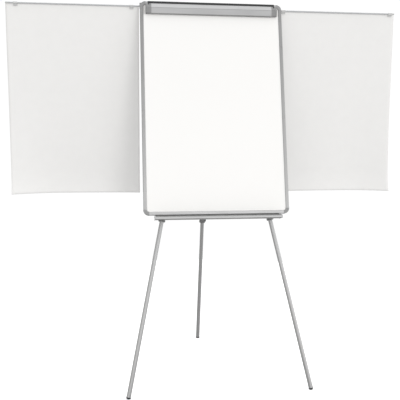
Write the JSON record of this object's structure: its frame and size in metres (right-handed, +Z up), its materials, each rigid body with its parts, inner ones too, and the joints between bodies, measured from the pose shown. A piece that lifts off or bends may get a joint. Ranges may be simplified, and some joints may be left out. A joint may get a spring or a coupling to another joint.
{
  "type": "flipchart easel",
  "caption": "Tripod flipchart easel: tilted dry-wipe board, lift-up pad clamp, pen tray, pull-out side arms with clipped paper sheets, folding telescopic legs.",
  "frame": {"origin": "on the floor, at the middle of the overall box, on the board's middle plane", "axes": "+Z up, +X to the right across the board, -Y towards the reader"},
  "size_m": [1.9415, 0.8352, 1.8358],
  "materials": {
    "board_white": "smooth white dry-wipe lacquer",
    "board_core": "pressed fibre board",
    "board_back": "galvanised grey sheet",
    "frame_aluminium": "satin grey anodised",
    "corner_plastic": "grey moulded",
    "clamp_aluminium": "satin grey anodised",
    "clamp_plastic": "grey moulded",
    "tray_aluminium": "satin grey anodised",
    "tray_plastic": "light grey moulded",
    "black_plastic": "black moulded",
    "dark_plastic": "dark grey moulded",
    "clip_plastic": "grey moulded",
    "black_rubber": "soft black",
    "plated_steel": "zinc plated",
    "arm_steel": "grey lacquered steel",
    "leg_tube": "silver-grey lacquered tube",
    "paper": "uncoated white paper"
  },
  "bodies": {
    "board": {"writing_surface": "board_white", "panel_core": "board_core", "panel_backing": "board_back", "rail_left": "frame_aluminium", "rail_right": "frame_aluminium", "rail_bottom": "frame_aluminium", "rail_top": "frame_aluminium", "corner_caps": "corner_plastic", "clamp_base": "black_plastic", "clamp_pivot_pins": "plated_steel", "clamp_springs": "plated_steel", "hook_rail": "black_plastic", "tray": "tray_aluminium", "tray_end_caps": "tray_plastic", "tray_screws": "plated_steel", "arm_guide_left": "dark_plastic", "arm_guide_right": "dark_plastic", "head_bracket": "dark_plastic", "head_pivot_bolts": "plated_steel", "rear_pivot_pin": "plated_steel", "leg_hooks": "dark_plastic", "board_screws": "plated_steel"},
    "clamp": {"clamp_bar": "clamp_aluminium", "clamp_end_cap_left": "clamp_plastic", "clamp_end_cap_right": "clamp_plastic", "clamp_grip": "black_rubber"},
    "pad_hook_left": {"pad_hook_left": "black_plastic"},
    "pad_hook_right": {"pad_hook_right": "black_plastic"},
    "arm_left": {"arm_rod_left": "arm_steel", "arm_tip_left": "clip_plastic", "sheet_clip_left_outer": "clip_plastic", "paper_sheet_left": "paper"},
    "clip_left": {"sheet_clip_left_inner": "clip_plastic"},
    "arm_right": {"arm_rod_right": "arm_steel", "arm_tip_right": "clip_plastic", "sheet_clip_right_outer": "clip_plastic", "paper_sheet_right": "paper"},
    "clip_right": {"sheet_clip_right_inner": "clip_plastic"},
    "upper_leg_left": {"outer_tube_left": "leg_tube", "top_plug_left": "dark_plastic", "collar_left": "dark_plastic"},
    "lower_leg_left": {"inner_tube_left": "leg_tube", "inner_glide_left": "black_plastic", "foot_left": "black_rubber"},
    "lever_left": {"lock_lever_left": "dark_plastic"},
    "upper_leg_right": {"outer_tube_right": "leg_tube", "top_plug_right": "dark_plastic", "collar_right": "dark_plastic"},
    "lower_leg_right": {"inner_tube_right": "leg_tube", "inner_glide_right": "black_plastic", "foot_right": "black_rubber"},
    "lever_right": {"lock_lever_right": "dark_plastic"},
    "upper_leg_rear": {"outer_tube_rear": "leg_tube", "top_plug_rear": "dark_plastic", "collar_rear": "dark_plastic"},
    "lower_leg_rear": {"inner_tube_rear": "leg_tube", "inner_glide_rear": "black_plastic", "foot_rear": "black_rubber"},
    "lever_rear": {"lock_lever_rear": "dark_plastic"}
  },
  "joints": [
    {"name": "clamp_lift", "type": "hinge", "parent": "board", "child": "clamp", "pos_m": [0, -0.03358, 1.81838], "axis": [-1, 0, 0], "range_deg": [0, 100], "stiffness_Nm_per_rad": 0.25, "springref_deg": -34.38},
    {"name": "pad_hook_left_slide", "type": "slide", "parent": "board", "child": "pad_hook_left", "axis": [1, 0, 0], "range_m": [-0.055, 0.08]},
    {"name": "pad_hook_right_slide", "type": "slide", "parent": "board", "child": "pad_hook_right", "axis": [1, 0, 0], "range_m": [-0.08, 0.055]},
    {"name": "arm_left_pull", "type": "slide", "parent": "board", "child": "arm_left", "axis": [-1, 0, 0], "range_m": [-0.555, 0], "deforming": ["paper_sheet_left"]},
    {"name": "arm_right_pull", "type": "slide", "parent": "board", "child": "arm_right", "axis": [1, 0, 0], "range_m": [-0.545, 0.026], "deforming": ["paper_sheet_right"]},
    {"name": "clip_left_slide", "type": "slide", "parent": "arm_left", "child": "clip_left", "axis": [-1, 0, 0], "range_m": [0, 0.53]},
    {"name": "clip_right_slide", "type": "slide", "parent": "arm_right", "child": "clip_right", "axis": [1, 0, 0], "range_m": [-0.03, 0.54]},
    {"name": "leg_left_fold", "type": "hinge", "parent": "board", "child": "upper_leg_left", "pos_m": [-0.053, 0.00033, 1.76879], "axis": [0, 0.9744, -0.225], "range_deg": [-11.8, 0]},
    {"name": "leg_left_extend", "type": "slide", "parent": "upper_leg_left", "child": "lower_leg_left", "axis": [-0.2045, -0.2202, -0.9538], "range_m": [-0.78, 0.06]},
    {"name": "lever_left_open", "type": "hinge", "parent": "upper_leg_left", "child": "lever_left", "pos_m": [-0.25954, -0.20502, 0.80153], "axis": [-0.2045, -0.2202, -0.9538], "range_deg": [0, 110]},
    {"name": "leg_right_fold", "type": "hinge", "parent": "board", "child": "upper_leg_right", "pos_m": [0.053, 0.00033, 1.76879], "axis": [0, -0.9744, 0.225], "range_deg": [-11.8, 0]},
    {"name": "leg_right_extend", "type": "slide", "parent": "upper_leg_right", "child": "lower_leg_right", "axis": [0.2045, -0.2202, -0.9538], "range_m": [-0.78, 0.06]},
    {"name": "lever_right_open", "type": "hinge", "parent": "upper_leg_right", "child": "lever_right", "pos_m": [0.25954, -0.20502, 0.80153], "axis": [-0.2045, 0.2202, 0.9538], "range_deg": [0, 110]},
    {"name": "leg_rear_fold", "type": "hinge", "parent": "board", "child": "upper_leg_rear", "pos_m": [0, 0.01202, 1.76609], "axis": [1, 0, 0], "range_deg": [-25.65, 0]},
    {"name": "leg_rear_extend", "type": "slide", "parent": "upper_leg_rear", "child": "lower_leg_rear", "axis": [0, 0.2189, -0.9757], "range_m": [-0.7, 0.06]},
    {"name": "lever_rear_open", "type": "hinge", "parent": "upper_leg_rear", "child": "lever_rear", "pos_m": [0, 0.26249, 0.72978], "axis": [0, -0.2189, 0.9757], "range_deg": [0, 110]}
  ],
  "couplings": [
    {"joint": "clip_left_slide", "follows": "arm_left_pull", "ratio": -0.95},
    {"joint": "clip_right_slide", "follows": "arm_right_pull", "ratio": -0.98}
  ]
}
